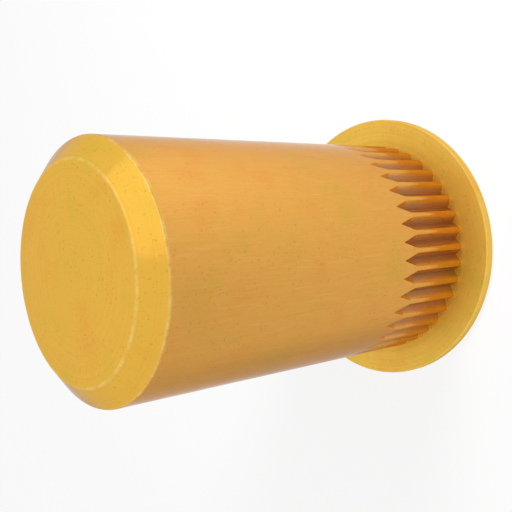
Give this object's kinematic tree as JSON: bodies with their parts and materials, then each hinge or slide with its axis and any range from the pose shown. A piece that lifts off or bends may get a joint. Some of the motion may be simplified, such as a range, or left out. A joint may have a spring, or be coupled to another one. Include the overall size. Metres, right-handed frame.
{
  "type": "closed-end rivet nut",
  "caption": "Closed-end blind rivet nut: thin flat flange, shank with straight grooves, chamfered closed end and blind tapped hole. Gives a sheet a strong thread.",
  "frame": {"origin": "centre of the flange's outer face, which is the lowest face of the part", "axes": "+Z along the axis of the thread, from the flange towards the closed end; X and Y are across the axis, and the first groove is 1.2 degrees from +X"},
  "size_m": [0.0138, 0.0138, 0.0192],
  "materials": {
    "plated_steel": "satin"
  },
  "bodies": {
    "root": {"rivet_nut": "plated_steel"}
  },
  "joints": []
}
